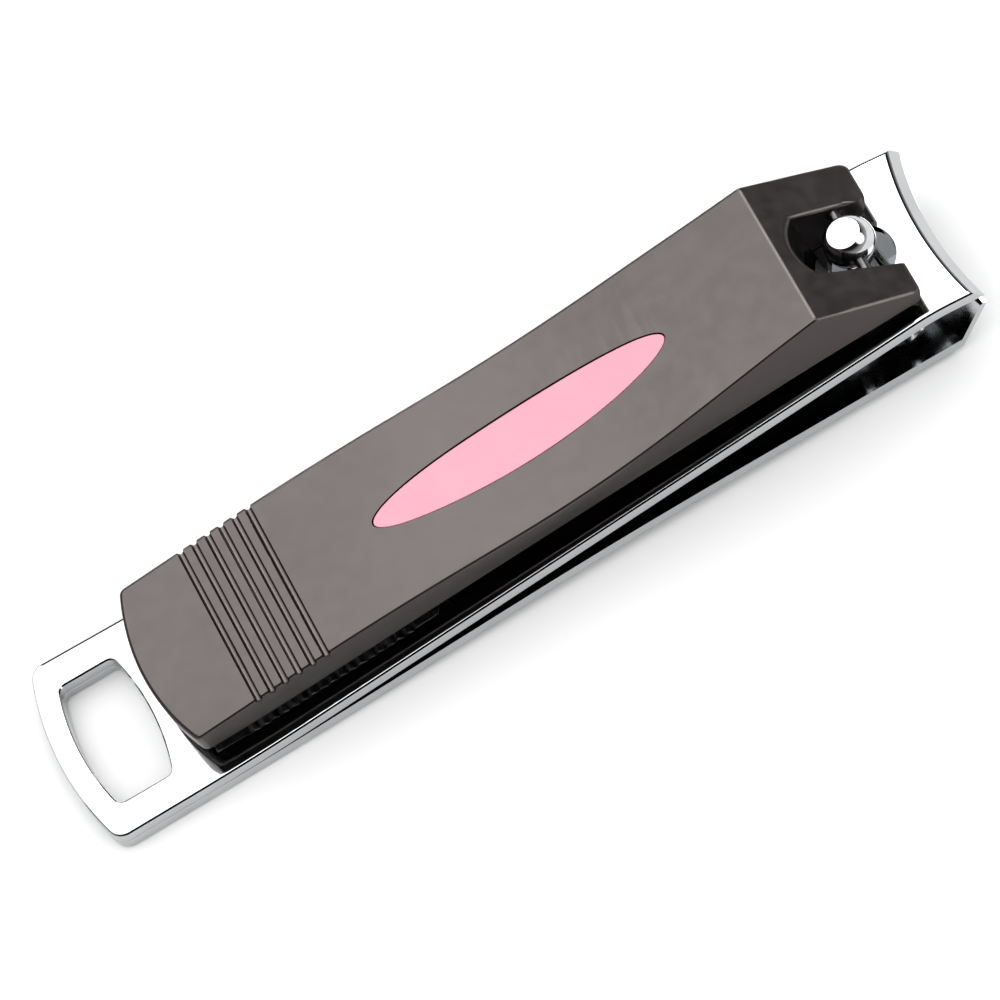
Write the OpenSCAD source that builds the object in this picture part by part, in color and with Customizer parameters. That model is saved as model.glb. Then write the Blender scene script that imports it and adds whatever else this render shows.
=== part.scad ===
// Nail clipper with a die-cast lever folded flat over two sprung steel arms.
// The tail stands at x = 0 in the drawing and the cutting edge at x = overall_length.
// The finished part is moved so that the middle of its footprint is the origin.

/* [Arms] */
// Length over both arms, tail to jaw corners
overall_length = 85.8; // [80:0.1:92]
// Width across the tail
tail_width = 18.8; // [17:0.1:21]
// Width across the jaw
jaw_width = 16.26; // [15:0.01:18]
// Thickness of each arm's steel strip
arm_thickness = 1.15; // [1.0:0.05:1.3]
// Slope of the upper arm once it has left the lower one, rise per length
upper_rise = 0.0805; // [0.075:0.0005:0.085]
// Radius of the rounded tail end
tail_end_r = 30; // [26:0.5:40]
// Radius of the tail's two corners
tail_corner_r = 1.5; // [0.8:0.1:2.5]

/* [Key ring hole] */
// Distance of the hole's rear edge from the tail end
ring_hole_start = 2.15; // [1.8:0.05:2.6]
// Distance of the hole's front edge from the tail end
ring_hole_end = 8.87; // [8:0.01:9.2]
// Width of the hole across the tail
ring_hole_width = 12.6; // [10:0.1:13.5]

/* [Jaw] */
// Radius of the hollow cutting edge
edge_r = 32; // [28:0.5:40]
// Height of the lower cutting edge in its middle
lower_edge_z = 5.05; // [4.8:0.05:5.05]

/* [Post] */
// Distance from the tail end to the post, at the upper arm's top face
post_x = 78.6; // [78.2:0.1:79]
// Height of the post's flat top over the upper arm
post_top_h = 4.85; // [4.6:0.05:5.1]
// Diameter of the post's ball head
ball_d = 4.5; // [3.8:0.1:4.6]
// Diameter of the post's shank
shank_d = 3.2; // [2.8:0.1:3.4]
// Height of the cross pin over the upper arm
pin_h = 3.2; // [3.1:0.05:3.25]
// Diameter of the cross pin
pin_d = 1.0; // [0.8:0.05:1.1]

/* [Lever] */
// Distance from the tail end to the lever's rear end
lever_start = 10.0; // [9.8:0.1:10.4]
// Distance from the tail end to the lever's crest
crest_x = 72.65; // [72:0.05:73.2]
// Width over the lever's top at the rear
lever_rear_width = 16.4; // [15.6:0.1:17]
// Width over the lever's top at the crest
lever_crest_width = 14.75; // [14.2:0.05:15.2]
// Width over the lever's lower rim
lever_rim_width = 14.7; // [14.2:0.1:15]
// Wall thickness of the casting
lever_wall = 1.2; // [1.0:0.05:1.4]
// Clear height between the upper arm and the lever's rim
lever_gap = 1.6; // [1.4:0.05:1.8]
// Fall of the sloping front face, fall per length
face_fall = 0.528; // [0.5:0.004:0.55]
// Width of the slot that clears the post
slot_width = 6.2; // [5.6:0.1:6.6]

/* [Inlay and file] */
// Length of the oval inlay
inlay_length = 28.4; // [24:0.1:30]
// Width of the oval inlay
inlay_width = 5.1; // [4:0.1:7]
// Number of finger grooves
groove_count = 6; // [3:1:7]
// Number of teeth on the file
tooth_count = 18; // [10:1:20]

/* [Hidden] */
$fn = 96;
wide = 30;              // longer than the part is wide, for cutters
run = 0.05;             // running clearance
tail_top_z = 2 * arm_thickness;

// ---- heights along the clipper ----

// Height that a gentle bend adds: the slope grows from 0 to its full value between two stations.
function bend(x, from, to, slope) =
    x <= from ? 0 :
    x >= to ? slope * (x - (from + to) / 2) :
    slope * pow(x - from, 2) / (2 * (to - from));

// The arms part at the end of the flat tail.
arms_part_x = 9;
arms_parted_x = 21;
lower_rise = 0.037;
// The lower arm arches over and comes down again towards the post.
arch_from_x = 40;
arch_to_x = 60;
lower_arch = 0.0615;
// The upper arm nods down at the jaw.
droop_from_x = 79.5;
droop_to_x = 83;
jaw_droop = 0.22;

function lower_bottom_z(x) =
    bend(x, arms_part_x, arms_parted_x, lower_rise) - bend(x, arch_from_x, arch_to_x, lower_arch);
function upper_top_z(x) =
    tail_top_z + bend(x, arms_part_x, arms_parted_x, upper_rise)
    - bend(x, droop_from_x, droop_to_x, jaw_droop);
function arm_half_width(x) =
    (tail_width + (jaw_width - tail_width) * x / overall_length) / 2;

// ---- lever heights and widths ----
lever_rear_z = 7.6;
// The crown climbs from the rear, levels off at the waist and climbs again to the crest.
rear_slope = 0.115;
waist_from_x = 20;
waist_to_x = 38;
waist_fall = 0.095;
climb_from_x = 42;
climb_to_x = 59;
crest_climb = 0.18;
// The rim comes closer to the arm at the front.
rim_from_x = 66;
rim_to_x = 78;
rim_fall = 0.06;
// The sides draw in along the waist and hardly narrow from there on.
draw_from_x = 44;
draw_to_x = 64;
draw_slope = (lever_rear_width - lever_crest_width) / 2 / (draw_to_x - draw_from_x);
ease_from_x = 66;
ease_to_x = 74;
front_slope = 0.02;

function lever_crown_z(x) =
    lever_rear_z + rear_slope * (x - lever_start) - bend(x, waist_from_x, waist_to_x, waist_fall)
    + bend(x, climb_from_x, climb_to_x, crest_climb);
function lever_top_z(x) =
    x < crest_x ? lever_crown_z(x) : lever_crown_z(crest_x) - face_fall * (x - crest_x);
function lever_rim_z(x) = upper_top_z(x) + lever_gap - bend(x, rim_from_x, rim_to_x, rim_fall);
function lever_half_width(x) =
    lever_rear_width / 2 - bend(x, draw_from_x, draw_to_x, draw_slope)
    + bend(x, ease_from_x, ease_to_x, draw_slope - front_slope);

// ---- jaw ----
corner_land = 0.03;     // the lower jaw's corners stop this short of the full length
jaw_axis_x = overall_length - corner_land + sqrt(pow(edge_r, 2) - pow(jaw_width / 2, 2));
upper_edge_z = upper_top_z(jaw_axis_x - edge_r) - arm_thickness;
bevel_run = 0.87;       // how far the ground bevel runs back per height
flange_run = 0.8;       // how far the lower jaw runs back per height
flange_wall = 0.6;      // thickness of the lower jaw, measured along the clipper
grind_h = 1.2;          // height of the ground part of the lower jaw
grind_run = 4.05;       // how far the ground inner face runs back over that height
edge_land = 0.15;       // width left at the lower cutting edge
edge_droop = 0.15;      // fall of the lower cutting edge towards its corners, per length

// ---- post ----
post_lean = atan(upper_rise);
post_top_r = 1.45;
upper_hole_r = 3.0;
seat_r = 2.7;           // radius of the post's tapered foot
seat_top = -6.2;        // where the foot's taper starts, below the upper arm's top
seat_bottom = -6.95;
foot_bottom = -7.2;
ball_h = post_top_h - sqrt(pow(ball_d / 2, 2) - pow(post_top_r, 2));

// ---- lever details ----
nose_clear = 0.1;       // gap between the nose, which turns about the pin, and the arm
nose_r = pin_h - nose_clear;
prong_half = 6.2;       // outer face of the cam feet
cam_back = 3.2;         // length of the flat heel behind the pin
pin_blind_y = -5.4;     // blind end of the pin's bore
slot_end_x = 74.0;
slot_end_r = 5;
slot_chamfer = 0.5;
rear_arc_r = 21.8;
edge_chamfer = 0.35;
groove_r = 0.3;
groove_start_x = 17.67;
groove_pitch = 1.34;
cavity_half = 6.15;
cavity_end_x = 68;
inlay_x = 47.1;
inlay_depth = 0.6;
inlay_gap = 0.12;
inlay_sink = 0.05;
file_start_x = 12.0;
file_end_x = 35.0;
file_thickness = 0.8;
file_half = 5.95;
file_end_r = 12;
tooth_start_x = 14.6;
tooth_pitch = 0.93;
tooth_depth = 0.25;
file_rivet_xs = [13.3, 33.2];
file_rivet_r = 0.6;
file_rivet_head_r = 1.1;
file_rivet_length = 2.2;
boss_r = 1.5;

// ---- rivet at the tail ----
rivet_x = 12.2;
rivet_r = 1.25;
rivet_head_r = 1.85;
rivet_head_h = 0.45;

// ---- helpers ----

// Stations along the clipper from one x to another.
function stations(from, to, step) =
    concat([for (i = [0 : floor((to - from) / step - 0.01)]) from + i * step], [to]);

// Points of an arc from one angle to another.
function arc(centre, r, from, to, steps) =
    [for (i = [0 : steps]) centre + r * [cos(from + (to - from) * i / steps),
                                         sin(from + (to - from) * i / steps)]];

// Puts a side view, drawn as x and height, across the clipper.
module side_view(half) {
    rotate([90, 0, 0])
        linear_extrude(2 * half, center = true)
            children();
}

// Moves to the post, with z along its axis and z = 0 on the upper arm's top face.
module at_post() {
    translate([post_x, 0, upper_top_z(post_x)])
        rotate([0, -post_lean, 0])
            children();
}

// The strip's outline from above: rounded tail, straight sides that taper to the jaw.
module arm_outline() {
    corner_y = arm_half_width(0) - tail_corner_r;
    reach = tail_end_r - tail_corner_r;
    corner_x = tail_end_r - sqrt(pow(reach, 2) - pow(corner_y, 2));
    swing = asin(corner_y / reach);
    front = overall_length;
    polygon(concat(
        arc([corner_x, corner_y], tail_corner_r, 92, 180 - swing, 6),
        arc([tail_end_r, 0], tail_end_r, 180 - swing, 180 + swing, 14),
        arc([corner_x, -corner_y], tail_corner_r, 180 + swing, 268, 6),
        [[front, -arm_half_width(front)], [front, arm_half_width(front)]]));
}

module ring_hole() {
    ring_hole_r = 24;
    translate([0, 0, -1])
        linear_extrude(tail_top_z + 2)
            intersection() {
                translate([ring_hole_start + ring_hole_r, 0]) circle(ring_hole_r);
                translate([ring_hole_end - ring_hole_r, 0]) circle(ring_hole_r);
                square([3 * ring_hole_r, ring_hole_width], center = true);
            }
}

// ---- sub-parts ----

module lower_arm() {
    plate_end = overall_length - 2;
    xs = stations(0, plate_end, arms_part_x / 3);
    base_z = lower_bottom_z(plate_end) + arm_thickness / 2;
    rise = lower_edge_z - base_z;
    outer_fall = rise + 2;
    color([0.84, 0.85, 0.87])
    difference() {
        intersection() {
            translate([0, 0, -1]) linear_extrude(10) arm_outline();
            union() {
                side_view(wide)
                    polygon(concat(
                        [for (x = xs) [x, lower_bottom_z(x)]],
                        [for (i = [len(xs) - 1 : -1 : 0])
                            [xs[i], lower_bottom_z(xs[i]) + arm_thickness]]));
                // The jaw is a flange turned up along a hollow curve.
                translate([jaw_axis_x, 0, base_z])
                    difference() {
                        cylinder(h = rise, r1 = edge_r + rise * flange_run + flange_wall,
                                 r2 = edge_r + flange_wall);
                        // ground inner face
                        translate([0, 0, rise - grind_h])
                            difference() {
                                cylinder(h = grind_h + 1, r = edge_r + 10);
                                translate([0, 0, -0.5])
                                    cylinder(h = grind_h + 0.5, r1 = edge_r + edge_land + grind_run,
                                             r2 = edge_r + edge_land);
                            }
                    }
            }
        }
        // outer face of the jaw
        translate([jaw_axis_x, 0, lower_edge_z - outer_fall])
            cylinder(h = outer_fall + 1, r1 = edge_r + outer_fall * flange_run,
                     r2 = edge_r - flange_run);
        // the edge falls towards its corners, to meet the upper one all along
        side_view(wide)
            polygon([[plate_end - 2, lower_edge_z + edge_droop * (jaw_axis_x - edge_r - plate_end + 2)],
                     [overall_length + 1,
                      lower_edge_z - edge_droop * (overall_length + 1 - jaw_axis_x + edge_r)],
                     [overall_length + 1, lower_edge_z + 2], [plate_end - 2, lower_edge_z + 2]]);
        ring_hole();
        // rivet hole, countersunk below
        translate([rivet_x, 0, -1]) cylinder(h = 3, r = rivet_r + 0.01);
        translate([rivet_x, 0, -0.01]) cylinder(h = 0.6, r1 = rivet_head_r, r2 = rivet_r);
        // post hole with a tapered seat for the foot
        at_post() {
            translate([0, 0, seat_bottom - 1]) cylinder(h = 4, r = shank_d / 2 + 0.1);
            translate([0, 0, seat_bottom])
                cylinder(h = seat_top - seat_bottom + 0.1, r1 = seat_r + 0.1, r2 = shank_d / 2);
            translate([0, 0, seat_bottom - 1]) cylinder(h = 1, r = seat_r + 0.1);
        }
    }
}

module upper_arm() {
    xs = stations(0, overall_length + 0.6, arms_part_x / 6);
    color([0.84, 0.85, 0.87])
    difference() {
        intersection() {
            translate([0, 0, -1]) linear_extrude(12) arm_outline();
            side_view(wide)
                polygon(concat(
                    [for (x = xs) [x, upper_top_z(x) - arm_thickness]],
                    [for (i = [len(xs) - 1 : -1 : 0]) [xs[i], upper_top_z(xs[i])]]));
        }
        // ground bevel down to the cutting edge
        translate([jaw_axis_x, 0, upper_edge_z - 1])
            cylinder(h = 4, r1 = edge_r - bevel_run, r2 = edge_r + 3 * bevel_run);
        ring_hole();
        translate([rivet_x, 0, 0]) cylinder(h = 4, r = rivet_r + 0.1);
        at_post() translate([0, 0, -3]) cylinder(h = 5, r = upper_hole_r);
    }
}

// Joins the arms at the tail, flush below and with a low head above.
module tail_rivet() {
    head_z = upper_top_z(rivet_x + rivet_head_r) + run;
    color([0.76, 0.77, 0.79])
        translate([rivet_x, 0, 0]) {
            cylinder(h = head_z + 0.1, r = rivet_r);
            cylinder(h = 0.59, r1 = rivet_head_r - 0.02, r2 = rivet_r);
            translate([0, 0, head_z])
                cylinder(h = rivet_head_h, r1 = rivet_head_r, r2 = rivet_head_r - 0.4);
        }
}

// Turned post: ball head with a flat top, shank, tapered foot under the lower arm.
module pivot_post() {
    color([0.88, 0.89, 0.91])
    at_post()
        difference() {
            union() {
                intersection() {
                    translate([0, 0, ball_h]) sphere(d = ball_d);
                    cylinder(h = post_top_h, r = ball_d);
                }
                translate([0, 0, foot_bottom]) cylinder(h = ball_h - foot_bottom, d = shank_d);
                translate([0, 0, seat_bottom])
                    cylinder(h = seat_top - seat_bottom, r1 = seat_r, r2 = shank_d / 2);
                translate([0, 0, foot_bottom])
                    cylinder(h = seat_bottom - foot_bottom, r1 = seat_r - 0.3, r2 = seat_r);
            }
            translate([0, 0, pin_h]) rotate([90, 0, 0])
                cylinder(h = 2 * ball_d, r = pin_d / 2 + run, center = true);
        }
}

// Pressed through the prong on the +Y side and into a blind bore on the other.
module cross_pin() {
    pin_end_y = lever_half_width(post_x) - 0.45;
    color([0.70, 0.71, 0.73])
    at_post()
        translate([0, pin_blind_y, pin_h]) rotate([-90, 0, 0])
            cylinder(h = pin_end_y - pin_blind_y, d = pin_d);
}

// Half of the lever's cross-section, from the rim up to the crown.
function lever_section(x) =
    let (top = lever_top_z(x), half = lever_half_width(x), rim = lever_rim_width / 2)
    [[x, -min(rim, half - 0.05), lever_rim_z(x)],
     [x, -half, top - edge_chamfer],
     [x, -half + edge_chamfer, top],
     [x, half - edge_chamfer, top],
     [x, half, top - edge_chamfer],
     [x, min(rim, half - 0.05), lever_rim_z(x)]];

// The lever's outer form, lofted through its cross-sections.
module lever_form() {
    xs = concat(stations(lever_start - 0.5, crest_x, 2.2), stations(crest_x + 1.5, 82, 1.5));
    n = 6;
    last = (len(xs) - 1) * n;
    points = [for (x = xs) each lever_section(x)];
    sides = [for (s = [0 : len(xs) - 2]) for (k = [0 : n - 1])
        let (a = s * n + k, b = s * n + (k + 1) % n)
        each [[a, b, b + n], [a, b + n, a + n]]];
    caps = [for (k = [1 : n - 2]) each [[0, k + 1, k], [last, last + k, last + k + 1]]];
    polyhedron(points, concat(sides, caps));
}

module slot_outline() {
    translate([slot_end_x + slot_end_r, 0]) intersection() {
        circle(slot_end_r);
        square([2 * slot_end_r, slot_width], center = true);
    }
    translate([slot_end_x + slot_end_r - 3, -slot_width / 2]) square([12, slot_width]);
}

module inlay_oval(grow) {
    linear_extrude(30)
        translate([inlay_x, 0])
            polygon([for (i = [0 : 71]) [(inlay_length / 2 + grow) * cos(5 * i),
                                         (inlay_width / 2 + grow) * sin(5 * i)]]);
}

// A strip under the lever's crown, between two depths below it.
module crown_strip(upper, lower, half) {
    xs = stations(inlay_x - inlay_length / 2 - 1, inlay_x + inlay_length / 2 + 1, 2);
    side_view(half)
        polygon(concat([for (x = xs) [x, lever_crown_z(x) - lower]],
                       [for (i = [len(xs) - 1 : -1 : 0]) [xs[i], lever_crown_z(xs[i]) - upper]]));
}

// Die-cast lever: hollow underneath, with two prongs that straddle the post.
module lever_casing() {
    color([0.42, 0.40, 0.39])
    difference() {
        union() {
            difference() {
                lever_form();
                // rounded rear end
                translate([0, -wide / 2, 0])
                    difference() {
                        cube([16, wide, 20]);
                        translate([lever_start + rear_arc_r, wide / 2, -1])
                            cylinder(h = 22, r = rear_arc_r);
                    }
                // hollow under the crown
                lever_cavity();
                // nose turned about the cross pin
                at_post()
                    difference() {
                        translate([0, -wide / 2, -3]) cube([8, wide, 12]);
                        translate([0, 0, pin_h]) rotate([90, 0, 0])
                            cylinder(h = 2 * wide, r = nose_r, center = true);
                    }
            }
            // cam feet under the prongs
            for (side = [-1, 1]) cam_foot(side);
            // bosses for the file's rivets
            for (x = file_rivet_xs) file_boss(x);
        }
        translate([0, 0, -1]) linear_extrude(30) slot_outline();
        slot_chamfers();
        // bore for the cross pin
        at_post()
            translate([0, pin_blind_y - 0.05, pin_h]) rotate([-90, 0, 0])
                cylinder(h = wide / 2, r = pin_d / 2 + 0.01);
        // pocket for the inlay
        intersection() {
            inlay_oval(inlay_gap);
            crown_strip(-1, inlay_depth, inlay_width);
        }
        for (i = [0 : groove_count - 1]) finger_groove(groove_start_x + i * groove_pitch);
        // blind bores for the file's rivets
        for (x = file_rivet_xs)
            translate([x, 0, lever_rim_z(x)])
                cylinder(h = file_rivet_length + 0.1, r = file_rivet_r);
    }
}

module lever_cavity() {
    xs = stations(lever_start + 1.7, cavity_end_x, 2.5);
    side_view(cavity_half)
        polygon(concat([for (x = xs) [x, lever_rim_z(x) - 2]],
                       [for (i = [len(xs) - 1 : -1 : 0]) [xs[i], lever_crown_z(xs[i]) - lever_wall]]));
}

// Round boss that the file is riveted to; its foot clears the sloping file.
module file_boss(x) {
    foot = lever_rim_z(x + boss_r) + file_thickness + 0.02;
    translate([x, 0, foot]) cylinder(h = lever_crown_z(x) - lever_wall / 2 - foot, r = boss_r);
}

// Round nose and flat heel under one prong; the slot trims its inner face.
module cam_foot(side) {
    foot_width = prong_half - slot_width / 2 + 1;
    heel_lift = 0.015;
    cam_top = 2.2;
    at_post()
        translate([0, side * (prong_half - foot_width / 2), 0])
            side_view(foot_width / 2)
                union() {
                    intersection() {
                        translate([0, pin_h]) circle(nose_r);
                        translate([-nose_r, 0]) square([2 * nose_r, cam_top]);
                    }
                    translate([-cam_back, nose_clear + heel_lift])
                        square([cam_back + 0.2, cam_top - nose_clear - heel_lift]);
                }
}

// Breaks the slot's two long edges on the sloping face.
module slot_chamfers() {
    translate([crest_x, 0, lever_crown_z(crest_x)])
        rotate([0, atan(face_fall), 0])
            for (side = [-1, 1])
                translate([0.8, side * slot_width / 2, 0])
                    rotate([45, 0, 0])
                        translate([0, -slot_chamfer * sqrt(0.5), -slot_chamfer * sqrt(0.5)])
                            cube([12, slot_chamfer * sqrt(2), slot_chamfer * sqrt(2)]);
}

module finger_groove(x) {
    z = lever_crown_z(x);
    translate([x, 0, z]) rotate([90, 0, 0]) cylinder(h = wide, r = groove_r, center = true);
    for (side = [-1, 1])
        translate([x, side * lever_half_width(x), z - 0.75]) cylinder(h = 1, r = groove_r);
}

// Coloured oval set a hair below the crown, with a fine gap round it.
module oval_inlay() {
    color([0.98, 0.66, 0.76])
    intersection() {
        inlay_oval(0);
        crown_strip(inlay_sink, inlay_depth, inlay_width);
    }
}

// Steel strip with cross-cut teeth on its lower face, which closes the rear of the hollow.
module nail_file() {
    tooth_end_x = tooth_start_x + tooth_count * tooth_pitch;
    teeth = [for (i = [0 : tooth_count - 1])
        let (x = tooth_start_x + i * tooth_pitch)
        each [[x, lever_rim_z(x)],
              [x + tooth_pitch / 2, lever_rim_z(x + tooth_pitch / 2) + tooth_depth]]];
    smooth = stations(tooth_end_x, file_end_x, 2);
    top = stations(file_start_x, file_end_x, 2.3);
    color([0.55, 0.56, 0.58])
    difference() {
        intersection() {
            side_view(file_half)
                polygon(concat(
                    [[file_start_x, lever_rim_z(file_start_x)]],
                    teeth,
                    [for (x = smooth) [x, lever_rim_z(x)]],
                    [for (i = [len(top) - 1 : -1 : 0])
                        [top[i], lever_rim_z(top[i]) + file_thickness]]));
            translate([file_end_x - file_end_r, 0, 0]) cylinder(h = 12, r = file_end_r + 0.001);
        }
        for (x = file_rivet_xs) {
            translate([x, 0, 0]) cylinder(h = 12, r = file_rivet_r + 0.02);
            translate([x, 0, lever_rim_z(x) - 0.2])
                cylinder(h = 0.6, r1 = file_rivet_head_r + 0.1, r2 = file_rivet_r);
        }
    }
}

// Two countersunk rivets that hold the file to the casting's bosses.
module file_rivets() {
    color([0.60, 0.61, 0.63])
    for (x = file_rivet_xs)
        translate([x, 0, lever_rim_z(x)]) {
            cylinder(h = file_rivet_length, r = file_rivet_r - 0.01);
            cylinder(h = 0.38, r1 = file_rivet_head_r - 0.1, r2 = file_rivet_r - 0.01);
        }
}

// Centres the part over its footprint.
module placed() {
    translate([-overall_length / 2, 0, 0]) children();
}

placed() lower_arm();
placed() upper_arm();
placed() tail_rivet();
placed() pivot_post();
placed() cross_pin();
placed() lever_casing();
placed() oval_inlay();
placed() nail_file();
placed() file_rivets();
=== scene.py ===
import math

import bpy
from mathutils import Euler, Matrix, Vector


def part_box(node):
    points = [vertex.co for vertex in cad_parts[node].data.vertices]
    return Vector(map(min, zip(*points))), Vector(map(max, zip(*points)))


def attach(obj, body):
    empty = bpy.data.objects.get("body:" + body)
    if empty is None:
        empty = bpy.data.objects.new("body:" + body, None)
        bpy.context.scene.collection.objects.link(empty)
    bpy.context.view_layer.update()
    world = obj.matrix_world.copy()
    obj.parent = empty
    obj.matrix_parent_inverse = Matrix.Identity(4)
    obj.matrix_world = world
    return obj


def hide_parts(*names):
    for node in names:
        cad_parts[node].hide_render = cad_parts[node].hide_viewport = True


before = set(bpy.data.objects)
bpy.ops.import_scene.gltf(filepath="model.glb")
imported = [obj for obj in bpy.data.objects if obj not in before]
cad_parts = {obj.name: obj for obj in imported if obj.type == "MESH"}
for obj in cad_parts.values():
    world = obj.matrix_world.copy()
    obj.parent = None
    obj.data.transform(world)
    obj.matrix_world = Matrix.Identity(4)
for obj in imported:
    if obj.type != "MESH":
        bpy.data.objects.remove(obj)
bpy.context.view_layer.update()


# ---- Camera, floor and light ----
# The clipper lies on a pale table. A long lens looks down on it from the near side, and is turned
# so that the clipper runs across the view from the lower left to the upper right.
mm = 0.001
elevation = math.radians(58)
swing = math.radians(3)
roll = math.radians(-32.7)
aim = Vector((-0.13, -0.56, 4.05)) * mm
distance = 830 * mm

turn = (Matrix.Rotation(swing, 3, "Z") @ Matrix.Rotation(math.pi / 2 - elevation, 3, "X")
        @ Matrix.Rotation(roll, 3, "Z"))
lens = bpy.data.cameras.new("camera")
lens.lens = 361.5
lens.sensor_width = 36
lens.clip_start = 0.05
lens.clip_end = 20
camera = bpy.data.objects.new("camera", lens)
camera.matrix_world = Matrix.Translation(aim + turn @ Vector((0, 0, distance))) @ turn.to_4x4()
bpy.context.scene.collection.objects.link(camera)
bpy.context.scene.camera = camera
bpy.context.scene.view_settings.view_transform = "Standard"


def plain_nodes(name, kind="Principled BSDF"):
    """A new material with its nodes, its links and its shader."""
    material = bpy.data.materials.new(name)
    material.use_nodes = True
    tree = material.node_tree
    return material, tree.nodes, tree.links, tree.nodes[kind]


def noise(nodes, links, scale, detail=3, stretch=None):
    """Noise in the piece's own place; a stretch makes it run in one direction."""
    place = nodes.new("ShaderNodeTexCoord")
    source = place.outputs["Object"]
    if stretch:
        mapping = nodes.new("ShaderNodeMapping")
        mapping.inputs["Scale"].default_value = stretch
        links.new(source, mapping.inputs["Vector"])
        source = mapping.outputs["Vector"]
    pattern = nodes.new("ShaderNodeTexNoise")
    pattern.inputs["Scale"].default_value = scale
    pattern.inputs["Detail"].default_value = detail
    links.new(source, pattern.inputs["Vector"])
    return pattern.outputs["Fac"]


def blend_colours(nodes, links, factor, first, second, low=0.35, high=0.65):
    """A colour that goes from the first to the second as the factor goes from low to high."""
    ramp = nodes.new("ShaderNodeValToRGB")
    ramp.color_ramp.elements[0].position = low
    ramp.color_ramp.elements[0].color = (*first, 1)
    ramp.color_ramp.elements[1].position = high
    ramp.color_ramp.elements[1].color = (*second, 1)
    links.new(factor, ramp.inputs["Fac"])
    return ramp.outputs["Color"]


table_size = 6
table_drop = 0.02 * mm      # keeps the table's face off the underside of the arms
bpy.ops.mesh.primitive_plane_add(size=table_size, location=(0, 0, -table_drop))
table = bpy.context.active_object
table.name = "table"
table_white, nodes, links, shader = plain_nodes("table_white")
grain = noise(nodes, links, 40)
links.new(blend_colours(nodes, links, grain, (0.86, 0.86, 0.86), (0.88, 0.88, 0.88)),
          shader.inputs["Base Color"])
shader.inputs["Roughness"].default_value = 0.9
table.data.materials.append(table_white)

# Bright metal reflects a light tent: a wide bright patch overhead and towards the back, a hotter
# one up the clipper, a small one low at the front, and a grey glow round the horizon.
tent = bpy.data.worlds.new("tent")
bpy.context.scene.world = tent
tent.use_nodes = True
nodes = tent.node_tree.nodes
links = tent.node_tree.links
place = nodes.new("ShaderNodeTexCoord")


def glow(towards, full, gone, bright):
    """A round patch of light in the tent, soft between two angles from its middle."""
    nearness = nodes.new("ShaderNodeVectorMath")
    nearness.operation = "DOT_PRODUCT"
    nearness.inputs[1].default_value = Vector(towards).normalized()
    links.new(place.outputs["Generated"], nearness.inputs[0])
    fade = nodes.new("ShaderNodeMapRange")
    fade.interpolation_type = "SMOOTHSTEP"
    fade.inputs["From Min"].default_value = math.cos(math.radians(gone))
    fade.inputs["From Max"].default_value = math.cos(math.radians(full))
    fade.inputs["To Max"].default_value = bright
    links.new(nearness.outputs["Value"], fade.inputs["Value"])
    return fade.outputs["Result"]


total = glow((0, 0.326, 0.946), 31, 41, 3.4)
up_the_clipper = glow((0.35, 0.53, 0.77), 3, 16, 5)
low_in_front = glow((0.7, -0.46, 0.54), 14, 26, 4)
horizon = glow((0, 0, -1), 92, 120, 0.5)
all_round = glow((0, 0, -1), 0, 180, 0.1)
for patch in (up_the_clipper, low_in_front, horizon, all_round):
    adding = nodes.new("ShaderNodeMath")
    links.new(total, adding.inputs[0])
    links.new(patch, adding.inputs[1])
    total = adding.outputs["Value"]
links.new(total, nodes["Background"].inputs["Strength"])
nodes["Background"].inputs["Color"].default_value = (1, 1, 1, 1)
tent.cycles_visibility.diffuse = False

# One very wide soft light overhead whitens the table and leaves only a faint, narrow shadow.
soft = bpy.data.lights.new("soft", "AREA")
soft.shape = "DISK"
soft.size = table_size
soft.energy = 150     # watts
overhead = bpy.data.objects.new("overhead", soft)
overhead.location = (0, 0, 1.3)
overhead.visible_glossy = False
overhead.visible_camera = False
bpy.context.scene.collection.objects.link(overhead)


# ---- Lower arm ----
# The lower arm is a stamped strip of spring steel, 1.15 mm thick, polished and chrome plated. Its
# tail is pierced for a key ring, and its front is turned up and ground hollow as the lower jaw.
tail_low, tail_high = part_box("upper_arm")
length = (tail_high.x - tail_low.x) / mm
tail_width = (tail_high.y - tail_low.y) / mm
jaw_width = 16.26
steel = 1.15
rim = 0.36              # rounding of the stamped edges
tail_end_r = 30
tail_corner_r = 1.5
hole_start = 2.15
hole_end = 8.87
hole_half = 6.3
hole_side_r = 24
hole_corner_r = 0.7
part_x = 9              # the arms part here and rise evenly beyond parted_x
parted_x = 21
lower_rise = 0.037
upper_rise = 0.0805
arch_start = 40         # the lower arm arches over between these two
arch_end = 60
arch_fall = 0.0615
nod_start = 79.5        # and the upper arm nods down between these
nod_end = 83
nod_fall = 0.22
slice_step = 1.5        # distance between rings of points where a strip bends
clear_y = 12            # half-width and front of the tools, well clear of the clipper
clear_x = 90
edge_r = 32             # radius of the hollow cutting edge
corner_land = 0.03
jaw_axis_x = length - corner_land + math.sqrt(edge_r ** 2 - (jaw_width / 2) ** 2)
edge_x = jaw_axis_x - edge_r
lower_edge_z = 5.05
edge_land = 0.15
edge_droop = 0.15
flange_run = 0.8        # how far the turned-up jaw leans, per height
flange_wall = 0.6
flange_start = 79
post_x = 78.6
shank_r = 1.6           # the post's shank and foot, which sit in the lower arm
foot_r = 2.7
foot_flare_z = -6.95
foot_neck_z = -6.2
fit = 0.1
rivet_x = 12.2
rivet_r = 1.25
rivet_head_r = 1.85
grind_height = 1.2
grind_run = 5.67        # how far the ground inner face runs back
jaw_sides = 512


def bend(x, start, end, slope):
    """Height that a bend adds: the slope grows from 0 to its full value between two places."""
    if x <= start:
        return 0
    if x >= end:
        return slope * (x - (start + end) / 2)
    return slope * (x - start) ** 2 / (2 * (end - start))


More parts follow.
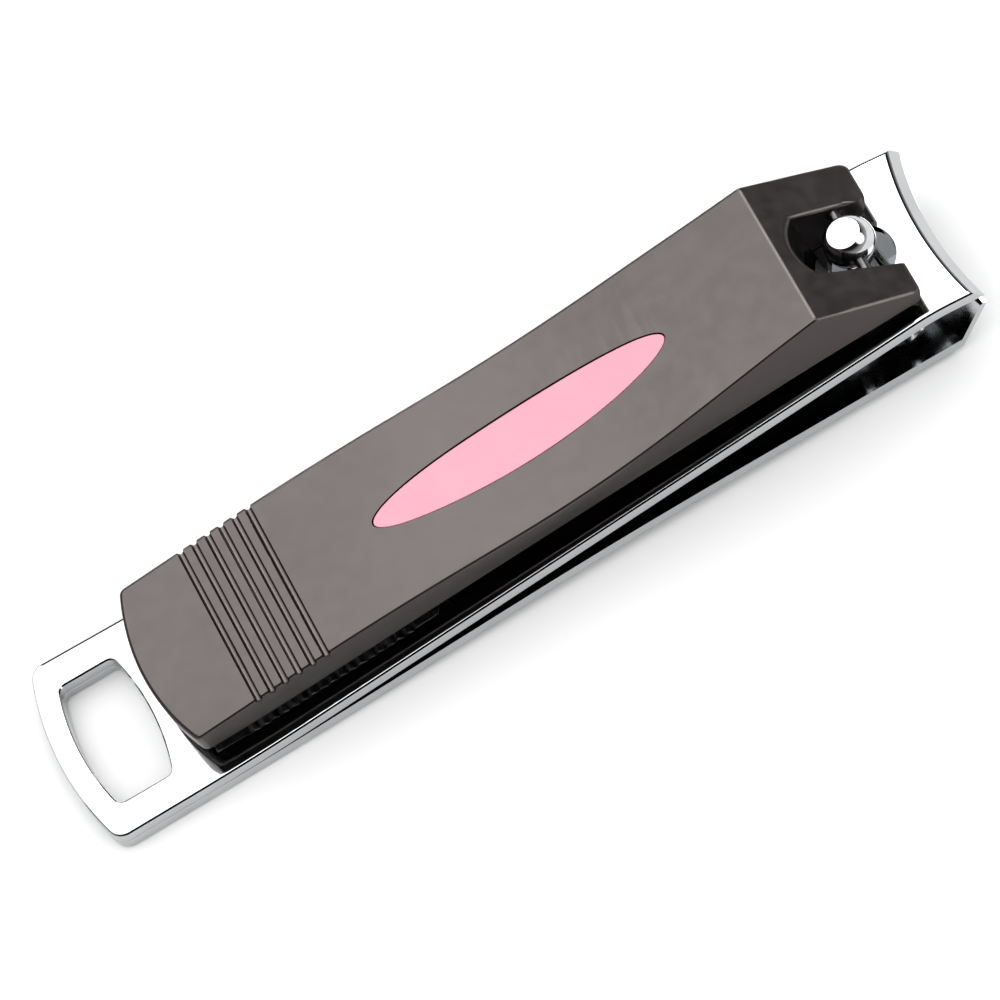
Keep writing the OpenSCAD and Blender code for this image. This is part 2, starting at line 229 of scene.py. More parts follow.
def arc(x, y, radius, start, end, steps):
    """Points of an arc round a centre, between two angles in degrees."""
    angles = [math.radians(start + (end - start) * i / steps) for i in range(steps + 1)]
    return [(x + radius * math.cos(a), y + radius * math.sin(a)) for a in angles]


def arm_half_width(x):
    return (tail_width + (jaw_width - tail_width) * x / length) / 2


def lower_under(x):
    return bend(x, part_x, parted_x, lower_rise) - bend(x, arch_start, arch_end, arch_fall)


def take(piece):
    """Makes one piece the only one selected and the active one."""
    bpy.ops.object.select_all(action="DESELECT")
    piece.select_set(True)
    bpy.context.view_layer.objects.active = piece


def edit(piece):
    take(piece)
    bpy.ops.object.mode_set(mode="EDIT")
    bpy.ops.mesh.select_all(action="SELECT")


def edit_only(piece):
    """Edits a piece with the selection that it has."""
    take(piece)
    bpy.ops.object.mode_set(mode="EDIT")


def leave():
    bpy.ops.object.mode_set(mode="OBJECT")


def weld(piece):
    """Joins doubled points and turns all faces outwards."""
    edit(piece)
    bpy.ops.mesh.remove_doubles(threshold=0.002)
    bpy.ops.mesh.normals_make_consistent(inside=False)
    leave()


def slice_at(piece, places):
    """Cuts rings of points across the clipper, for bending."""
    edit(piece)
    for x in places:
        bpy.ops.mesh.select_all(action="SELECT")
        bpy.ops.mesh.bisect(plane_co=(x, 0, 0), plane_no=(1, 0, 0), threshold=0.0005)
    leave()


def places(start, end, step):
    count = max(1, math.ceil((end - start) / step - 0.01))
    return [start + (end - start) * i / count for i in range(count + 1)]


def blank(name, outlines, thickness, edge):
    """A flat blank that lies on z = 0, cut to its outlines, with its rims rounded."""
    drawing = bpy.data.curves.new(name, "CURVE")
    drawing.dimensions = "2D"
    drawing.fill_mode = "BOTH"
    for outline in outlines:
        line = drawing.splines.new("POLY")
        line.points.add(len(outline) - 1)
        for point, (x, y) in zip(line.points, outline):
            point.co = (x, y, 0, 1)
        line.use_cyclic_u = True
    drawing.extrude = thickness / 2 - edge
    drawing.bevel_depth = edge
    drawing.bevel_resolution = 2
    drawing.offset = -edge
    piece = bpy.data.objects.new(name, drawing)
    bpy.context.scene.collection.objects.link(piece)
    piece.location.z = thickness / 2
    take(piece)
    bpy.ops.object.convert(target="MESH")
    piece = bpy.context.active_object
    bpy.ops.object.transform_apply(location=True, rotation=True, scale=True)
    weld(piece)
    return piece


def strip_blank(name, square):
    """An arm's blank, its rims rounded on the outside and nearly square where the arms touch."""
    spare = 0.17
    piece = blank(name, [arm_outline(0), ring_hole()], steel + spare, rim)
    if square == "over":
        waste = block("waste", (-2, -clear_y, steel), (length + 2, clear_y, steel + 1))
        combine(piece, waste, "DIFFERENCE")
        return piece
    combine(piece, block("waste", (-2, -clear_y, -1), (length + 2, clear_y, spare)), "DIFFERENCE")
    edit(piece)
    bpy.ops.transform.translate(value=(0, 0, -spare))
    leave()
    return piece


def press(piece, thickness, under, over):
    """Presses a flat blank to its side view: the lower rim follows one line, the upper another."""
    for point in piece.data.vertices:
        if point.co.z < thickness / 2:
            point.co.z += under(point.co.x)
        else:
            point.co.z += over(point.co.x) - thickness


def combine(piece, tool, how):
    """Joins a second solid to the piece, or cuts the piece with it."""
    take(piece)
    step = piece.modifiers.new(how.lower(), "BOOLEAN")
    step.operation = how
    step.solver = "EXACT"
    step.object = tool
    bpy.ops.object.modifier_apply(modifier=step.name)
    bpy.data.objects.remove(tool)


def turned(name, profile, sides, x=0, y=0):
    """A turned solid about an upright axis. The profile is radius and height, from the foot up."""
    radius, z = profile[0]
    bpy.ops.mesh.primitive_circle_add(vertices=sides, radius=radius, fill_type="NGON",
                                      location=(x, y, z))
    piece = bpy.context.active_object
    piece.name = name
    take(piece)
    bpy.ops.object.transform_apply(location=True, rotation=True, scale=True)
    edit(piece)
    for next_radius, next_z in profile[1:]:
        bpy.ops.mesh.extrude_region_move(TRANSFORM_OT_translate={"value": (0, 0, next_z - z)})
        share = next_radius / radius
        bpy.ops.transform.resize(value=(share, share, 1), center_override=(x, y, next_z))
        radius, z = next_radius, next_z
    bpy.ops.mesh.select_all(action="SELECT")
    bpy.ops.mesh.normals_make_consistent(inside=False)
    leave()
    return piece


def block(name, low, high):
    """A square-edged block between two corners."""
    middle = [(a + b) / 2 for a, b in zip(low, high)]
    size = [b - a for a, b in zip(low, high)]
    bpy.ops.mesh.primitive_cube_add(size=1, location=middle, scale=size)
    piece = bpy.context.active_object
    piece.name = name
    take(piece)
    bpy.ops.object.transform_apply(location=True, rotation=True, scale=True)
    return piece


def finish(piece, name, material, body, slot, *nodes, angle=28, soften=None):
    """Brings a piece from millimetres at the tail to its place in the frame, and fits it."""
    take(piece)
    if soften:
        edge = piece.modifiers.new("soften", "BEVEL")
        edge.width = soften
        edge.segments = 2
        edge.limit_method = "ANGLE"
        edge.angle_limit = math.radians(32)
        edge.use_clamp_overlap = True
        edge.face_strength_mode = "FSTR_ALL"
        bpy.ops.object.modifier_apply(modifier=edge.name)
    bpy.ops.object.shade_smooth_by_angle(angle=math.radians(angle))
    even = piece.modifiers.new("even", "WEIGHTED_NORMAL")
    even.keep_sharp = True
    even.use_face_influence = bool(soften)
    bpy.ops.object.modifier_apply(modifier=even.name)
    edit(piece)
    bpy.ops.transform.translate(value=(-length / 2, 0, 0))
    bpy.ops.transform.resize(value=(mm, mm, mm), center_override=(0, 0, 0))
    leave()
    piece.name = name
    piece.data.name = name
    piece.data.materials.clear()
    piece.data.materials.append(material)
    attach(piece, body)
    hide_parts(*nodes)
    return piece


def upper_over(x):
    return (2 * steel + bend(x, part_x, parted_x, upper_rise)
            - bend(x, nod_start, nod_end, nod_fall))


post_lean = math.atan(upper_rise)
post_z = upper_over(post_x)


def at_post(piece):
    """Stands a piece that was made upright over x = 0 on the upper arm's top, square to it."""
    take(piece)
    piece.rotation_euler = Euler((0, -post_lean, 0))
    piece.location = (post_x, 0, post_z)
    bpy.ops.object.transform_apply(location=True, rotation=True, scale=True)
    return piece


def blend_values(nodes, links, factor, first, second):
    """A number that goes from the first to the second as the factor goes from 0.3 to 0.7."""
    spread = nodes.new("ShaderNodeMapRange")
    spread.inputs["From Min"].default_value = 0.3
    spread.inputs["From Max"].default_value = 0.7
    spread.inputs["To Min"].default_value = first
    spread.inputs["To Max"].default_value = second
    links.new(factor, spread.inputs["Value"])
    return spread.outputs["Result"]


def bump(nodes, links, shader, height, depth, strength=1.0):
    """Raises the surface by the pattern; the depth is in metres."""
    relief = nodes.new("ShaderNodeBump")
    relief.inputs["Strength"].default_value = strength
    relief.inputs["Distance"].default_value = depth
    links.new(height, relief.inputs["Height"])
    links.new(relief.outputs["Normal"], shader.inputs["Normal"])


def arm_outline(start):
    """The strip's outline from above, from the rounded tail or from a straight cut."""
    front = [(length, -arm_half_width(length)), (length, arm_half_width(length))]
    if start > 0:
        return front + [(start, arm_half_width(start)), (start, -arm_half_width(start))]
    corner_y = arm_half_width(0) - tail_corner_r
    reach = tail_end_r - tail_corner_r
    corner_x = tail_end_r - math.sqrt(reach ** 2 - corner_y ** 2)
    sweep = math.degrees(math.asin(corner_y / reach))
    return (front + arc(corner_x, corner_y, tail_corner_r, 91, 180 - sweep, 8)
            + arc(tail_end_r, 0, tail_end_r, 180 - sweep, 180 + sweep, 36)[1:-1]
            + arc(corner_x, -corner_y, tail_corner_r, 180 + sweep, 269, 8))


def ring_hole():
    """A barrel-shaped hole with round corners."""
    near_y = hole_half - hole_corner_r
    reach = hole_side_r - hole_corner_r
    inset = reach - math.sqrt(reach ** 2 - near_y ** 2)
    lean = math.degrees(math.asin(near_y / reach))
    left = hole_start + hole_corner_r + inset
    right = hole_end - hole_corner_r - inset
    return (arc(hole_start + hole_side_r, 0, hole_side_r, 180 - lean, 180 + lean, 24)
            + arc(left, -near_y, hole_corner_r, 180 + lean, 270, 6)[1:]
            + arc(right, -near_y, hole_corner_r, 270, 360 - lean, 6)
            + arc(hole_end - hole_side_r, 0, hole_side_r, -lean, lean, 24)[1:]
            + arc(right, near_y, hole_corner_r, lean, 90, 6)[1:]
            + arc(left, near_y, hole_corner_r, 90, 180 - lean, 6)[:-1])


chrome, nodes, links, shader = plain_nodes("polished_chrome")
shader.inputs["Metallic"].default_value = 1
cloudy = noise(nodes, links, 300)
links.new(blend_colours(nodes, links, cloudy, (0.45, 0.46, 0.47), (0.48, 0.49, 0.495)),
          shader.inputs["Base Color"])
links.new(blend_values(nodes, links, noise(nodes, links, 900), 0.035, 0.075),
          shader.inputs["Roughness"])
polish = noise(nodes, links, 9000, 2, (0.03, 1, 1))
bump(nodes, links, shader, polish, 0.6e-6, 0.25)

lower_steel = strip_blank("lower_arm", "over")
slice_at(lower_steel, places(part_x, parted_x, slice_step)
         + places(arch_start, arch_end, slice_step) + [flange_start])
press(lower_steel, steel, lower_under, lambda x: lower_under(x) + steel)

jaw_foot_z = lower_under(length - 2) + steel / 2
jaw_rise = lower_edge_z - jaw_foot_z
jaw_spare = 0.6         # stands above the edge until it is ground off
jaw = blank("jaw", [arm_outline(flange_start)], jaw_rise + jaw_spare, rim)
press(jaw, 1, lambda x: jaw_foot_z, lambda x: jaw_foot_z + 1)
inner_r = edge_r + flange_wall
inside = turned("inside", [(inner_r + jaw_rise * flange_run, jaw_foot_z - 1),
                           (inner_r + jaw_rise * flange_run, jaw_foot_z),
                           (inner_r, lower_edge_z),
                           (inner_r, lower_edge_z + 2)], jaw_sides, jaw_axis_x)
combine(jaw, inside, "INTERSECT")
grind = turned("grind", [(edge_r + edge_land + grind_run, lower_edge_z - grind_height - 0.5),
                         (edge_r + edge_land, lower_edge_z + 0.001),
                         (edge_r + edge_land, lower_edge_z + 2)], jaw_sides, jaw_axis_x)
ring = block("ring", (flange_start - 2, -clear_y, lower_edge_z - grind_height),
             (clear_x, clear_y, lower_edge_z + 1.5))
combine(ring, grind, "DIFFERENCE")
combine(jaw, ring, "DIFFERENCE")
combine(lower_steel, jaw, "UNION")
outer_fall = jaw_rise + 2
outside = turned("outside", [(edge_r + outer_fall * flange_run, lower_edge_z - outer_fall),
                             (edge_r - flange_run, lower_edge_z + 1)], jaw_sides, jaw_axis_x)
combine(lower_steel, outside, "DIFFERENCE")
top = block("top", (flange_start, -clear_y, lower_edge_z), (length + 1, clear_y, lower_edge_z + 3))
edit(top)
bpy.ops.transform.rotate(value=-math.atan(edge_droop), orient_axis="Y",
                         center_override=(edge_x, 0, lower_edge_z))
leave()
combine(lower_steel, top, "DIFFERENCE")
rivet_hole = turned("rivet_hole", [(rivet_head_r + 0.03, -1), (rivet_head_r + 0.03, 0),
                                   (rivet_r + 0.02, 0.6), (rivet_r + 0.02, 3)], 64, rivet_x)
combine(lower_steel, rivet_hole, "DIFFERENCE")
seat = turned("seat", [(foot_r + fit, -9), (foot_r + fit, foot_flare_z),
                       (shank_r + fit, foot_neck_z), (shank_r + fit, -3)], 96)
combine(lower_steel, at_post(seat), "DIFFERENCE")
finish(lower_steel, "lower_arm_steel", chrome, "base", "arm_chrome", "lower_arm")


# ---- Upper arm ----
# The upper arm is the same strip, sprung away from the lower one. It nods down at the front, where
# a bevel is ground round the hollow cutting edge, and a round hole lets the post through.
post_hole_r = 3.0
bevel_run = 0.87
crease = 0.75           # rounding between the flat and the ground bevel
nod = math.atan(nod_fall - upper_rise)

upper_steel = strip_blank("upper_arm", "under")
slice_at(upper_steel, places(part_x, parted_x, slice_step) + places(nod_start, nod_end, 0.35))
press(upper_steel, steel, lambda x: upper_over(x) - steel, upper_over)
upper_edge_z = upper_over(edge_x) - steel
bevel_tilt = math.atan(bevel_run)
thick = steel * math.cos(nod)
bevel_rise = thick - crease * (1 - math.sin(bevel_tilt))
bevel_r = edge_r + bevel_rise * bevel_run
grind_profile = [(edge_r - bevel_run, -1), (bevel_r, bevel_rise)]
for i in range(1, 7):
    lean = bevel_tilt + (math.pi / 2 - bevel_tilt) * i / 6
    grind_profile.append((bevel_r + crease * (math.cos(bevel_tilt) - math.cos(lean)),
                          bevel_rise + crease * (math.sin(lean) - math.sin(bevel_tilt))))
radius = grind_profile[-1][0]
grind_profile[-1] = (radius, thick + 0.004)
grind_profile += [(radius + 1, thick + 0.4), (radius + 1, thick + 3)]
grind = turned("grind", grind_profile, jaw_sides, edge_r)
take(grind)
grind.rotation_euler = Euler((0, nod, 0))
grind.location = (edge_x, 0, upper_edge_z)
bpy.ops.object.transform_apply(location=True, rotation=True, scale=True)
combine(upper_steel, grind, "DIFFERENCE")
post_hole = turned("post_hole", [(post_hole_r, -3), (post_hole_r, 2)], 96)
combine(upper_steel, at_post(post_hole), "DIFFERENCE")
rivet_hole = turned("rivet_hole", [(rivet_r + fit, -1), (rivet_r + fit, 5)], 64, rivet_x)
combine(upper_steel, rivet_hole, "DIFFERENCE")
finish(upper_steel, "upper_arm_steel", chrome, "arm", "arm_chrome", "upper_arm")


# ---- Post ----
# The post is turned from steel and chrome plated: a ball head with a flat top, a shank through both
# arms, and a tapered foot that pulls up into the lower arm. The cross pin runs through its head.
post_top = 4.85
post_top_r = 1.45
ball_r = 2.25
ball_z = post_top - math.sqrt(ball_r ** 2 - post_top_r ** 2)
pin_z = 3.2
pin_r = 0.5

start = math.degrees(math.acos(shank_r / ball_r))
ball = [(ball_r * math.cos(a), ball_z + ball_r * math.sin(a))
        for a in [math.radians(-start + (start + 42.5) * i / 18) for i in range(19)]]
flat_edge = [(post_top_r + 0.05, post_top - 0.05), (post_top_r - 0.02, post_top - 0.01),
             (post_top_r - 0.1, post_top), (0.7, post_top), (0.05, post_top)]
foot = [(foot_r - 0.4, -7.2), (foot_r - 0.3, -7.17), (foot_r - 0.02, -7.0), (foot_r, foot_flare_z),
        (shank_r + 0.05, foot_neck_z - 0.05), (shank_r, foot_neck_z)]
post = turned("post", foot + [(shank_r, -3), (shank_r, 0.5)] + ball + flat_edge, 96)
bpy.ops.mesh.primitive_cylinder_add(vertices=48, radius=pin_r + 0.05, depth=10,
                                    location=(0, 0, pin_z), rotation=(math.pi / 2, 0, 0))
combine(post, bpy.context.active_object, "DIFFERENCE")
at_post(post)

post_chrome, nodes, links, shader = plain_nodes("turned_chrome")
shader.inputs["Metallic"].default_value = 1
worn = noise(nodes, links, 1400)
links.new(blend_colours(nodes, links, worn, (0.50, 0.51, 0.52), (0.58, 0.585, 0.59)),
          shader.inputs["Base Color"])
links.new(blend_values(nodes, links, worn, 0.05, 0.12), shader.inputs["Roughness"])
bump(nodes, links, shader, noise(nodes, links, 2600, 4), 6e-6, 0.3)
finish(post, "post_turned", post_chrome, "post", "post_chrome", "pivot_post")


# ---- Tail rivet ----
# A steel rivet clamps the two arms just in front of the flat tail. It is flush below and has a low
# domed head above, under the lever.
rivet_head = 0.45
head_z = upper_over(rivet_x + rivet_head_r) + 0.05
dome = [(rivet_head_r * math.cos(a), head_z + 0.12 + (rivet_head - 0.12) * math.sin(a))
        for a in [math.radians(15 * i) for i in range(6)]]
rivet = turned("rivet", [(rivet_head_r - 0.03, 0), (rivet_r, 0.59), (rivet_r, head_z),
                         (rivet_head_r - 0.03, head_z), (rivet_head_r, head_z + 0.05)] + dome
               + [(0.1, head_z + rivet_head)], 64, rivet_x)
bright_steel, nodes, links, shader = plain_nodes("bright_steel")
shader.inputs["Metallic"].default_value = 1
scuffed = noise(nodes, links, 2200, 4)
links.new(blend_colours(nodes, links, scuffed, (0.52, 0.52, 0.53), (0.66, 0.66, 0.67)),
          shader.inputs["Base Color"])
links.new(blend_values(nodes, links, scuffed, 0.2, 0.34), shader.inputs["Roughness"])
bump(nodes, links, shader, scuffed, 8e-6, 0.3)
finish(rivet, "tail_rivet_headed", bright_steel, "base", "rivet_steel", "tail_rivet")


# ---- Lever casing ----
# The lever is die-cast in zinc and plated in satin gunmetal. It is hollow underneath and drawn in
# along its waist, with finger grooves at the rear and two prongs that straddle the post.
lever_start = 10
lever_front = 81.42
crest_x = 72.65
crest_round = 0.45      # length over which the crown turns down into the front face
rear_height = 7.6
rear_half = 8.2
crest_half = 7.375
lever_rim_half = 7.35
lever_wall = 1.2
face_fall = 0.528
rear_arc_r = 21.8
rear_corner_r = 0.7
front_corner_r = 0.8
lever_edge = 0.32
slot_half = 3.1
slot_end_x = 74
slot_end_r = 5
slot_round = 0.4
nose_clear = 0.1
nose_r = pin_z - nose_clear
prong_half = 6.2
cavity_half = 6.15
crown_rise = 0.115      # the crown's slope at the rear, and how it eases off and climbs again
ease_start = 20
ease_end = 38
ease_off = 0.095
climb_start = 42
climb_end = 59
climb = 0.18
waist_start = 44        # the sides draw in between these two, and run straight again from the last
waist_end = 64
waist_out_start = 66
waist_out_end = 74
skirt_clear = 1.6       # height of the lever's lower rim over the upper arm
groove_count = 6
groove_x = 17.67
groove_pitch = 1.34
groove_r = 0.34
groove_sink = 0.12
inlay_x = 47.1
inlay_long = 14.2
inlay_wide = 2.55
inlay_gap = 0.12
inlay_depth = 0.6
file_start = 12
file_end = 35
file_thick = 0.8
file_rivets = (13.3, 33.2)
boss_r = 1.5


def crown(x):
    return (rear_height + crown_rise * (x - lever_start) - bend(x, ease_start, ease_end, ease_off)
            + bend(x, climb_start, climb_end, climb))


crown_slope = crown_rise - ease_off + climb


def lever_over(x):
    turn_down = bend(x, crest_x - crest_round / 2, crest_x + crest_round / 2,
                     crown_slope + face_fall)
    return crown(x) - turn_down


def lever_under(x):
    return upper_over(x) + skirt_clear - bend(x, 66, 78, 0.06)


def lever_half(x):
    draw = (rear_half - crest_half) / (waist_end - waist_start)
    return (rear_half - bend(x, waist_start, waist_end, draw)
            + bend(x, waist_out_start, waist_out_end, draw - 0.02))


def lever_outline():
    """The lever from above: round rear end, waisted sides and round front corners."""
    near_y = rear_half - rear_corner_r
    reach = rear_arc_r - rear_corner_r
    sweep = math.degrees(math.asin(near_y / reach))
    corner_x = lever_start + rear_arc_r - math.sqrt(reach ** 2 - near_y ** 2)
    rear = (arc(corner_x, near_y, rear_corner_r, 90, 180 - sweep, 6)
            + arc(lever_start + rear_arc_r, 0, rear_arc_r, 180 - sweep, 180 + sweep, 30)[1:-1]
            + arc(corner_x, -near_y, rear_corner_r, 180 + sweep, 270, 6))
    near = [(x, -lever_half(x)) for x in places(waist_start, 78, 2)]
    tip_x = lever_front - front_corner_r
    tip_y = lever_half(lever_front) - front_corner_r
    front = (arc(tip_x, -tip_y, front_corner_r, 270, 360, 6)
             + arc(tip_x, tip_y, front_corner_r, 0, 90, 6))
    return rear + near + front + [(x, -y) for x, y in reversed(near)]


def slot_mouth(x):
    """Half the width of the slot at one place."""
    if x >= slot_end_x + slot_end_r - math.sqrt(slot_end_r ** 2 - slot_half ** 2):
        return slot_half
    return math.sqrt(max(0, slot_end_r ** 2 - (slot_end_x + slot_end_r - x) ** 2))


def slot_outline(front):
    """The slot for the post: round closed end, straight sides and a mouth that flares round."""
    mouth_r = 1.0
    sweep = math.degrees(math.asin(slot_half / slot_end_r))
    centre = slot_end_x + slot_end_r
    turn_x = front - mouth_r
    upper = arc(turn_x, slot_half + mouth_r, mouth_r, -90, 0, 6)
    lower = [(x, -y) for x, y in reversed(upper)]
    outside = [(front + 3, -slot_half - mouth_r), (front + 3, slot_half + mouth_r)]
    closed_end = arc(centre, 0, slot_end_r, 180 - sweep, 180 + sweep, 12)
    return closed_end + lower + outside + list(reversed(upper))


form_height = 4
casing = blank("casing", [lever_outline()], form_height, lever_edge)
slice_at(casing, places(12, 66, slice_step) + places(67, crest_x - crest_round / 2, slice_step)
         + places(crest_x - crest_round / 2, crest_x + crest_round / 2, 0.09)
         + places(crest_x + crest_round / 2, 79.5, 2) + [80.5])
for point in casing.data.vertices:
    if point.co.z < form_height / 2:
        point.co.y *= min(lever_rim_half, lever_half(point.co.x) - 0.05) / lever_half(point.co.x)
press(casing, form_height, lever_under, lever_over)

# hollow under the crown
hollow = block("hollow", (lever_start + 1.7, -cavity_half, 0), (68, cavity_half, 1))
slice_at(hollow, places(13, 67, 2))
press(hollow, 1, lambda x: lever_under(x) - 2, lambda x: crown(x) - lever_wall)
combine(casing, hollow, "DIFFERENCE")

# nose turned about the cross pin
nose_cutter = block("nose_cutter", (0, -clear_y, -3), (8, clear_y, 9))
bpy.ops.mesh.primitive_cylinder_add(vertices=160, radius=nose_r, depth=40, location=(0, 0, pin_z),
                                    rotation=(math.pi / 2, 0, 0))
combine(nose_cutter, bpy.context.active_object, "DIFFERENCE")
combine(casing, at_post(nose_cutter), "DIFFERENCE")

# cam feet under the prongs: round nose in front and a flat heel behind
for side in (-1, 1):
    inner = slot_half - 1
    middle = side * (prong_half + inner) / 2
    foot = block("foot", (-3.2, min(side * inner, side * prong_half), nose_clear + 0.015),
                 (0.2, max(side * inner, side * prong_half), 2.2))
    bpy.ops.mesh.primitive_cylinder_add(vertices=160, radius=nose_r, depth=prong_half - inner,
                                        location=(0, middle, pin_z), rotation=(math.pi / 2, 0, 0))
    cam = bpy.context.active_object
    combine(cam, block("trim", (-4, -clear_y, -1), (4, clear_y, 2.2)), "INTERSECT")
    combine(foot, cam, "UNION")
    combine(casing, at_post(foot), "UNION")

# bosses that the file is riveted to
for x in file_rivets:
    foot_height = lever_under(x + boss_r) + file_thick + 0.02
    boss = turned("boss", [(boss_r, foot_height), (boss_r, crown(x) - lever_wall / 2)], 40, x)
    combine(casing, boss, "UNION")

slot = blank("slot", [slot_outline(lever_front)], 20, 0)
combine(casing, slot, "DIFFERENCE")

# the slot's long edges are rounded over where they meet the sloping face
edit(casing)
bpy.ops.mesh.select_mode(type="EDGE")
bpy.ops.mesh.select_all(action="DESELECT")
leave()
for line in casing.data.edges:
    ends = [casing.data.vertices[i].co for i in line.vertices]
    line.select = all(abs(end.z - lever_over(end.x)) < 0.01 and end.x < lever_front - 0.9
                      and abs(slot_mouth(end.x) - abs(end.y)) < 0.01 for end in ends)
edit_only(casing)
bpy.ops.mesh.bevel(offset=slot_round, segments=4)
leave()

# bore for the cross pin, open on the far side
bpy.ops.mesh.primitive_cylinder_add(vertices=48, radius=pin_r + 0.01, depth=15,
                                    location=(0, 15 / 2 - 5.45, pin_z),
                                    rotation=(math.pi / 2, 0, 0))
combine(casing, at_post(bpy.context.active_object), "DIFFERENCE")


def oval(name, grow, low, high, edge):
    """An oval blank round the inlay's middle, pressed to lie between two depths under the crown."""
    points = [(inlay_x + (inlay_long + grow) * math.cos(a), (inlay_wide + grow) * math.sin(a))
              for a in [math.radians(3 * i) for i in range(120)]]
    piece = blank(name, [points], high - low, edge)
    slice_at(piece, places(inlay_x - inlay_long + 1, inlay_x + inlay_long - 1, slice_step))
    press(piece, high - low, lambda x: crown(x) + low, lambda x: crown(x) + high)
    return piece


combine(casing, oval("pocket", inlay_gap, -inlay_depth, 1, 0), "DIFFERENCE")

# finger grooves, which run out over the sides
for i in range(groove_count):
    x = groove_x + i * groove_pitch
    bpy.ops.mesh.primitive_cylinder_add(vertices=32, radius=groove_r, depth=24,
                                        location=(x, 0, crown(x) - groove_sink),
                                        rotation=(math.pi / 2, 0, 0))
    groove = bpy.context.active_object
    for side in (-1, 1):
        notch = turned("notch", [(0.03, crown(x) - 1.0), (groove_r - 0.03, crown(x) - 0.6),
                                 (groove_r - 0.03, crown(x) + 0.5)], 24,
                       x, side * (lever_half(x) + 0.15))
        combine(groove, notch, "UNION")
    combine(casing, groove, "DIFFERENCE")
for x in file_rivets:
    bore = turned("bore", [(0.6, lever_under(x) - 0.5), (0.6, lever_under(x) + 2.3)], 32, x)
    combine(casing, bore, "DIFFERENCE")

# points that lie almost on one another are joined before the edges are softened
edit(casing)
bpy.ops.mesh.remove_doubles(threshold=0.045)
leave()

gunmetal, nodes, links, shader = plain_nodes("satin_gunmetal")
shader.inputs["Metallic"].default_value = 1
shader.inputs["Specular Tint"].default_value = (0.6, 0.59, 0.59, 1)
tone = noise(nodes, links, 45)
links.new(blend_colours(nodes, links, tone, (0.074, 0.066, 0.064), (0.084, 0.075, 0.0725)),
          shader.inputs["Base Color"])
links.new(blend_values(nodes, links, noise(nodes, links, 700), 0.30, 0.37),
          shader.inputs["Roughness"])
bump(nodes, links, shader, noise(nodes, links, 7000, 4), 3e-6, 0.35)
casing = finish(casing, "lever_cast", gunmetal, "lever", "gunmetal", "lever_casing", soften=0.07)

# the sloping face is shaded as the plane that it is, and the crown as the smooth curve that it is
slope = Vector((face_fall, 0, 1)).normalized()
shading = [corner.vector.copy() for corner in casing.data.corner_normals]
for face in casing.data.polygons:
    points = [casing.data.vertices[i].co / mm + Vector((length / 2, 0, 0)) for i in face.vertices]
    on_crown = face.normal.z > 0.97 and all(abs(p.z - crown(p.x)) < 0.02 for p in points)
    for corner, point in zip(face.loop_indices, points):
        if face.normal.dot(slope) > 0.9995:
            shading[corner] = slope
        elif on_crown:
            rise = (crown(point.x + 0.05) - crown(point.x - 0.05)) / 0.1
            shading[corner] = Vector((-rise, 0, 1)).normalized()
casing.data.normals_split_custom_set(shading)


# ---- Inlay ----
# The inlay is an oval of pink enamel, poured into its pocket in the crown and polished almost
# flush, with a fine gap round it.
inlay = oval("inlay", 0, -inlay_depth, -0.05, 0.08)
enamel, nodes, links, shader = plain_nodes("pink_enamel")
tone = noise(nodes, links, 220)
links.new(blend_colours(nodes, links, tone, (0.64, 0.245, 0.31), (0.67, 0.26, 0.33)),
          shader.inputs["Base Color"])
links.new(blend_values(nodes, links, noise(nodes, links, 900), 0.30, 0.38),
          shader.inputs["Roughness"])
shader.inputs["Coat Weight"].default_value = 0.3
shader.inputs["Coat Roughness"].default_value = 0.12
bump(nodes, links, shader, noise(nodes, links, 500), 4e-6, 0.15)
finish(inlay, "inlay_enamel", enamel, "lever", "pink_enamel", "oval_inlay")


# ---- Cross pin ----
# A blackened steel pin, pressed through the far prong and the post's head into a blind bore in the
# near prong. Both of its ends are chamfered.
pin_start = -5.4
pin_end = lever_half(post_x) - 0.45
pin_profile = [(pin_r - 0.12, 0), (pin_r, 0.12), (pin_r, pin_end - pin_start - 0.12),
               (pin_r - 0.12, pin_end - pin_start)]
pin = turned("pin", pin_profile, 48)
take(pin)
pin.rotation_euler = Euler((-math.pi / 2, 0, 0))
pin.location = (0, pin_start, pin_z)
bpy.ops.object.transform_apply(location=True, rotation=True, scale=True)
at_post(pin)
dark_steel, nodes, links, shader = plain_nodes("dark_steel")
shader.inputs["Metallic"].default_value = 1
oiled = noise(nodes, links, 1800, 4)
links.new(blend_colours(nodes, links, oiled, (0.06, 0.06, 0.062), (0.11, 0.11, 0.112)),
          shader.inputs["Base Color"])
links.new(blend_values(nodes, links, oiled, 0.25, 0.4), shader.inputs["Roughness"])
bump(nodes, links, shader, oiled, 8e-6, 0.3)
finish(pin, "cross_pin_ground", dark_steel, "lever", "pin_steel", "cross_pin")


# ---- Nail file ----
# The file is a ground steel strip with cross-cut teeth on its lower face. It closes the rear of
# the lever's hollow and is riveted to the two bosses.
file_half = 5.95
file_end_r = 12
tooth_x = 14.6
tooth_pitch = 0.93
tooth_count = 18
tooth_depth = 0.25


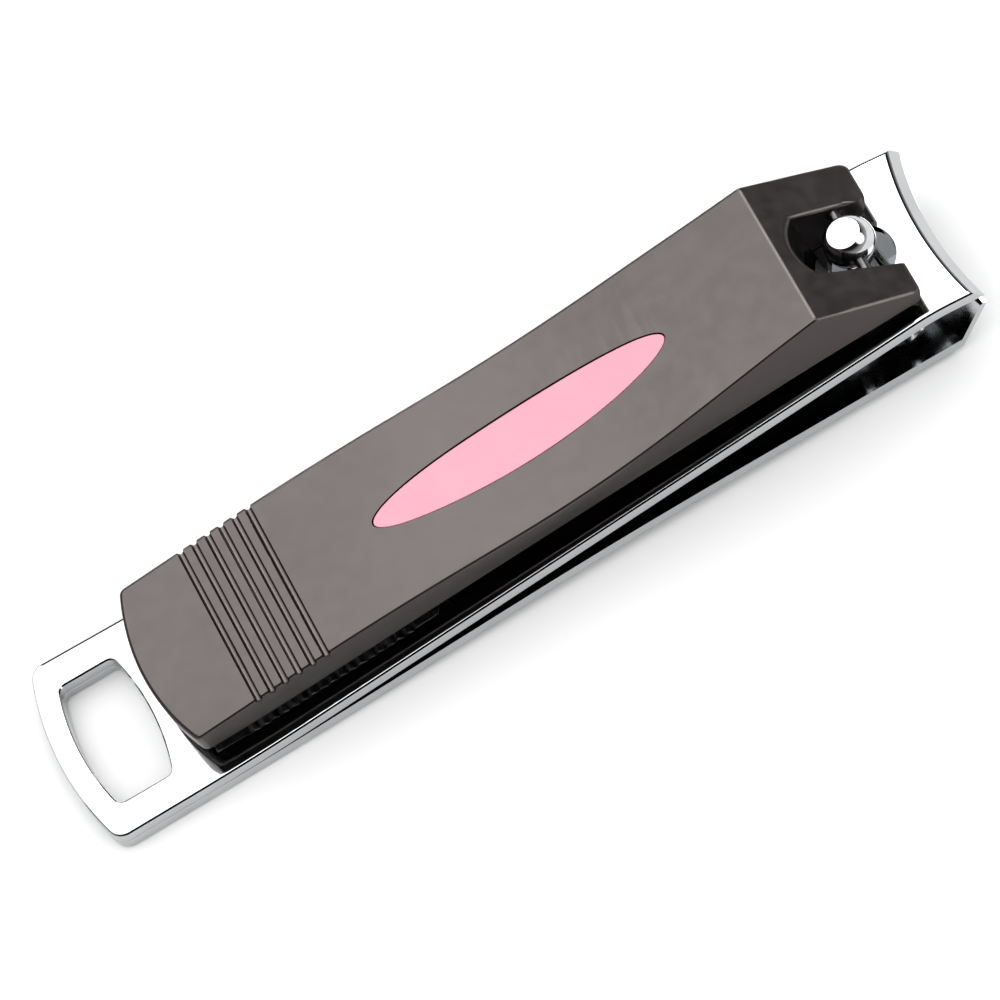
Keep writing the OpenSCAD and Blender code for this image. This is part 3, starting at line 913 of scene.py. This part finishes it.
def file_under(x):
    """The lower face: flat lands and, along the teeth, a saw line cut up into it."""
    along = (x - tooth_x) / tooth_pitch
    if not 0 < along < tooth_count:
        return lever_under(x)
    return lever_under(x) + tooth_depth * (1 - abs(2 * (along % 1) - 1))


sweep = math.degrees(math.asin(file_half / file_end_r))
file_outline = ([(file_start, file_half), (file_start, -file_half)]
                + arc(file_end - file_end_r, 0, file_end_r, -sweep, sweep, 16))
strip = blank("file", [file_outline], file_thick, 0.05)
slice_at(strip, [tooth_x + tooth_pitch * i / 2 for i in range(2 * tooth_count + 1)]
         + places(tooth_x + tooth_pitch * tooth_count + 0.5, 34, slice_step))
press(strip, file_thick, file_under, lambda x: lever_under(x) + file_thick)
for x in file_rivets:
    drill = turned("drill", [(1.2, lever_under(x) - 0.2), (0.6, lever_under(x) + 0.4),
                             (0.62, lever_under(x) + 3)], 32, x)
    combine(strip, drill, "DIFFERENCE")

file_steel, nodes, links, shader = plain_nodes("ground_file_steel")
shader.inputs["Metallic"].default_value = 1
ground = noise(nodes, links, 1500)
links.new(blend_colours(nodes, links, ground, (0.36, 0.36, 0.365), (0.5, 0.5, 0.505)),
          shader.inputs["Base Color"])
shader.inputs["Roughness"].default_value = 0.32
cuts = nodes.new("ShaderNodeTexWave")
cuts.bands_direction = "DIAGONAL"
cuts.inputs["Scale"].default_value = 900
cuts.inputs["Distortion"].default_value = 0.4
place = nodes.new("ShaderNodeTexCoord")
links.new(place.outputs["Object"], cuts.inputs["Vector"])
bump(nodes, links, shader, cuts.outputs["Fac"], 3e-5, 0.5)
finish(strip, "file_cut", file_steel, "lever", "file_steel", "nail_file")


# ---- File rivets ----
# Two small countersunk steel rivets hold the file to the casting, flush with its lower face.
small = []
for x in file_rivets:
    z = lever_under(x)
    small.append(turned("small_rivet", [(0.9, z), (0.98, z + 0.03), (0.6, z + 0.38),
                                        (0.58, z + 0.45), (0.58, z + 2.15), (0.5, z + 2.2)], 40, x))
take(small[0])
small[1].select_set(True)
bpy.ops.object.join()
finish(small[0], "file_rivets_set", bright_steel, "lever", "small_rivets", "file_rivets")
